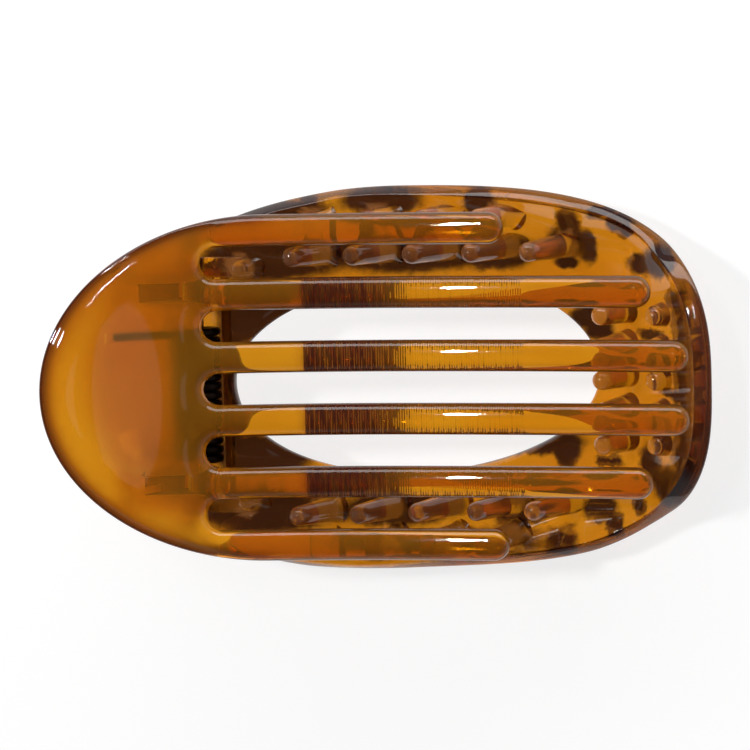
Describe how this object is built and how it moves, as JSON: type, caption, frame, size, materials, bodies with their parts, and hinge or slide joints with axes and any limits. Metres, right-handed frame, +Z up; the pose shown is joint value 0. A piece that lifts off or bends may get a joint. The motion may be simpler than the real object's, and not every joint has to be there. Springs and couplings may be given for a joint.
{
  "type": "hair claw clip",
  "caption": "Flat hair claw clip: a see-through comb jaw with a thumb pad, hinged and sprung over a tortoiseshell ring jaw with slanted pegs.",
  "frame": {"origin": "middle of the clip's outline, on the surface that it rests on", "axes": "+X along the clip from the thumb pads to the tine tips, +Y across it, +Z up from the frame jaw to the comb jaw"},
  "size_m": [0.1079, 0.0638, 0.0301],
  "materials": {
    "amber_acrylic": "clear amber, polished",
    "tortoiseshell_acrylic": "amber with dark brown patches, polished",
    "spring_steel": "blackened wire",
    "pin_steel": "bright"
  },
  "bodies": {
    "frame": {"frame_jaw": "tortoiseshell_acrylic", "hinge_pin": "pin_steel", "torsion_spring": "spring_steel"},
    "comb": {"comb_jaw": "amber_acrylic"}
  },
  "joints": [
    {"name": "jaw_hinge", "type": "hinge", "parent": "frame", "child": "comb", "pos_m": [-0.03095, 0, 0.0145], "axis": [0, -1, 0], "range_deg": [0, 35], "stiffness_Nm_per_rad": 0.2, "springref_deg": -34.38, "deforming": ["torsion_spring"]}
  ]
}
